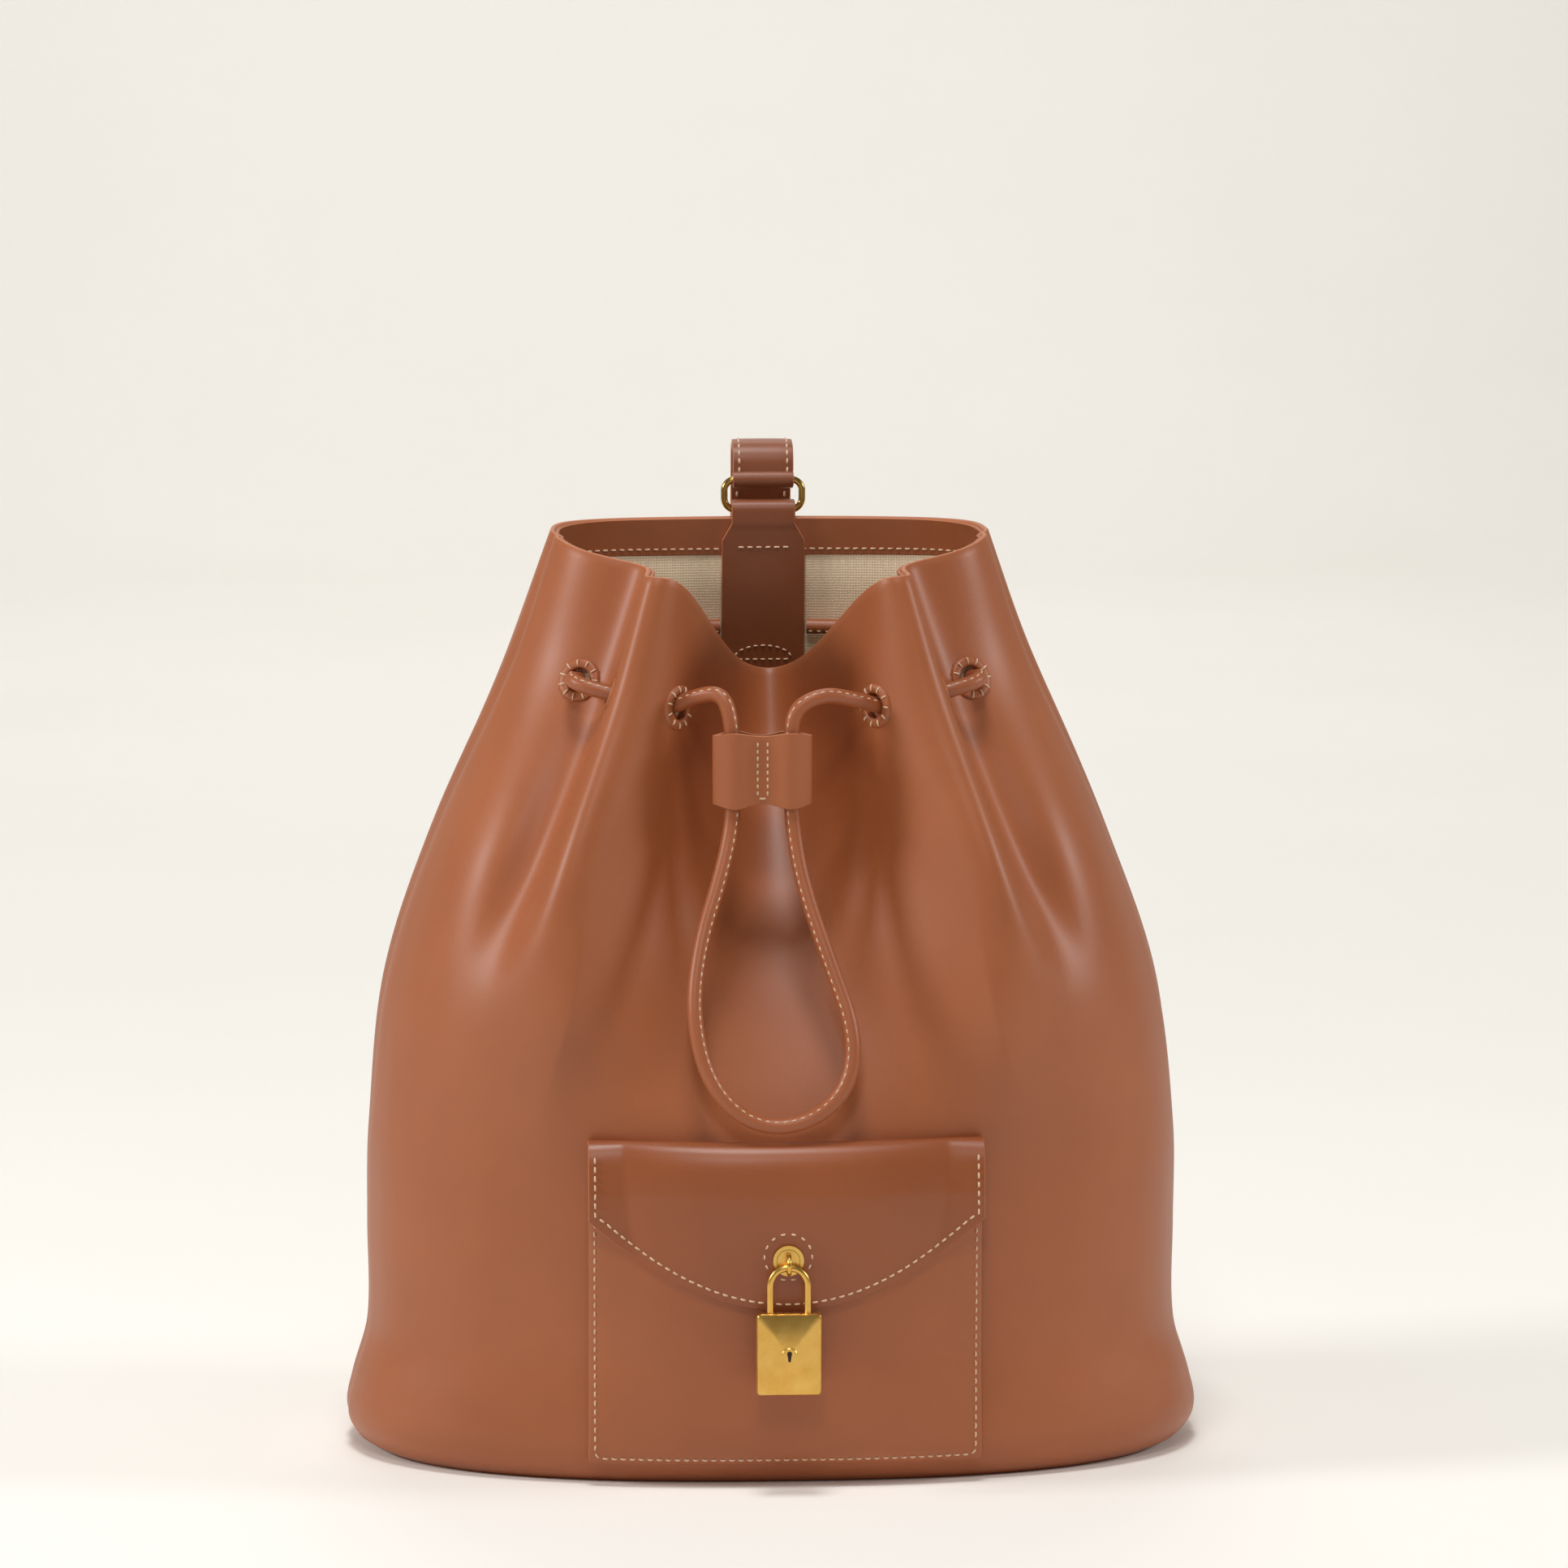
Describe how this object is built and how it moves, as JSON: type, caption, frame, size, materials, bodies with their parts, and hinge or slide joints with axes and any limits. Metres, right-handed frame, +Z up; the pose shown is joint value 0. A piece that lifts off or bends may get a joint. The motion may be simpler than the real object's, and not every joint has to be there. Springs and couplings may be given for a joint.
{
  "type": "bucket bag",
  "caption": "Soft leather drawstring bucket bag with a flapped front pocket, a small padlock, a cord slider, a rim ring and one shoulder strap.",
  "frame": {"origin": "centre of the base, on the plane that the bag stands on", "axes": "+Z up, the front with the pocket faces -Y, +X to the viewer's right when looking at the front"},
  "size_m": [0.3006, 0.2691, 0.3472],
  "materials": {
    "leather": "smooth satin tan calf",
    "cord_leather": "smooth satin folded cord",
    "canvas": "plain cream canvas",
    "board": "grey-brown stiffener board",
    "brass": "polished gold",
    "ring_brass": "polished gold wire",
    "steel": "plain"
  },
  "bodies": {
    "bag": {"front_panel": "leather", "back_panel": "leather", "front_lining": "canvas", "back_lining": "canvas", "front_rim_facing": "leather", "back_rim_facing": "leather", "base_panel": "leather", "base_board": "board", "base_lining": "canvas", "eyelet_washers": "leather", "pocket_panel": "leather", "flap_fold": "leather", "snap_socket": "steel", "drawcord": "cord_leather", "ring_tab": "leather", "lower_ring_tab": "leather", "shoulder_strap": "leather", "lower_strap": "leather", "strap_buckle": "ring_brass", "strap_keeper": "leather"},
    "flap": {"pocket_flap": "leather", "snap_stud": "steel", "flap_rosette": "brass", "lock_staple": "brass"},
    "shackle": {"lock_shackle": "brass"},
    "padlock": {"lock_case": "brass", "lock_back_plate": "brass", "latch_spring": "steel"},
    "lock_core": {"lock_plug": "brass"},
    "latch": {"lock_latch": "steel"},
    "slider": {"cord_slider": "leather"},
    "hanging_ring": {"top_ring": "ring_brass"},
    "base_ring": {"lower_ring": "ring_brass"},
    "prong": {"buckle_prong": "ring_brass"}
  },
  "joints": [
    {"name": "flap_hinge", "type": "hinge", "parent": "bag", "child": "flap", "pos_m": [0.001, -0.1015, 0.114], "axis": [-1, 0, 0], "range_deg": [0, 95]},
    {"name": "lock_swing", "type": "hinge", "parent": "flap", "child": "shackle", "pos_m": [0.001, -0.1047, 0.0796], "axis": [-1, 0, 0], "range_deg": [0, 60]},
    {"name": "lock_drop", "type": "slide", "parent": "shackle", "child": "padlock", "axis": [0, 0, -1], "range_m": [0, 0.005]},
    {"name": "key_turn", "type": "hinge", "parent": "padlock", "child": "lock_core", "pos_m": [0.001, -0.1047, 0.05], "axis": [0, -1, 0], "range_deg": [0, 90]},
    {"name": "latch_slide", "type": "slide", "parent": "padlock", "child": "latch", "axis": [1, 0, 0], "range_m": [0, 0.0011]},
    {"name": "slider_slide", "type": "slide", "parent": "bag", "child": "slider", "axis": [0, -0.1, -0.995], "range_m": [0, 0.015], "deforming": ["drawcord"]},
    {"name": "ring_tilt", "type": "hinge", "parent": "bag", "child": "hanging_ring", "pos_m": [0, 0.05045, 0.3227], "axis": [1, 0, 0], "range_deg": [-50, 30], "deforming": ["shoulder_strap"]},
    {"name": "base_ring_tilt", "type": "hinge", "parent": "bag", "child": "base_ring", "pos_m": [0, 0.0886, 0.025], "axis": [1, 0, 0], "range_deg": [-20, 30], "deforming": ["lower_strap"]},
    {"name": "prong_lift", "type": "hinge", "parent": "bag", "child": "prong", "pos_m": [0, 0.08632, 0.19145], "axis": [-1, 0, 0], "range_deg": [0, 8]}
  ],
  "couplings": [
    {"joint": "latch_slide", "follows": "lock_drop", "ratio": 0.22},
    {"joint": "key_turn", "follows": "lock_drop", "rad_per_m": 314.16}
  ]
}
